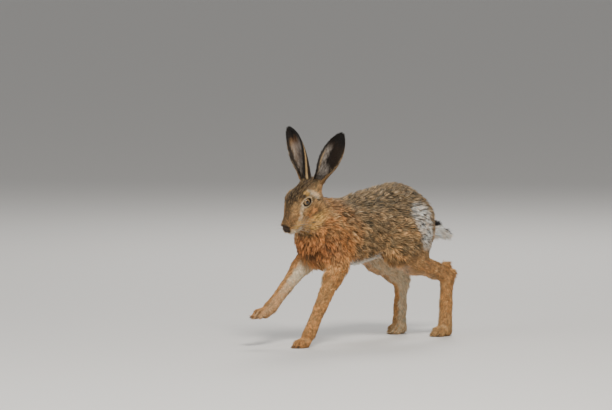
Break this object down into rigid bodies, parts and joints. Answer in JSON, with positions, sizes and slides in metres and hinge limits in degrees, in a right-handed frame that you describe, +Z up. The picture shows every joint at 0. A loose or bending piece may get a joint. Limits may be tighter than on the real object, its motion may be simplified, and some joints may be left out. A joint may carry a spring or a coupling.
{
  "type": "brown hare, still model",
  "caption": "Life-size brown hare standing in mid walk on three feet, right forepaw raised and reaching forward.",
  "frame": {"origin": "on the floor, under the middle of the hare's length and width", "axes": "+X forward, the way the hare walks; +Y to the hare's left; +Z up"},
  "size_m": [0.4794, 0.1582, 0.387],
  "materials": {
    "coat_back": "grey-brown fur ticked black",
    "coat_face": "tan fur",
    "coat_chest": "rufous fur",
    "coat_leg": "orange-buff fur",
    "ear": "short fur, black at the tip",
    "tail": "white fur, black above",
    "eye": "amber, polished",
    "claw": "dark horn"
  },
  "bodies": {
    "root": {"chest": "coat_chest", "ear_left": "ear", "ear_right": "ear", "eye_left": "eye", "eye_right": "eye", "foot_left": "coat_leg", "foot_right": "coat_leg", "foreleg_left": "coat_leg", "foreleg_right": "coat_leg", "forepaw_left": "coat_leg", "forepaw_right": "coat_leg", "head": "coat_face", "loin": "coat_back", "neck": "coat_chest", "rump": "coat_back", "shin_left": "coat_leg", "shin_right": "coat_leg", "tail": "tail", "thigh_left": "coat_back", "thigh_right": "coat_back", "toes_left": "coat_leg", "toes_right": "coat_leg"}
  },
  "joints": []
}
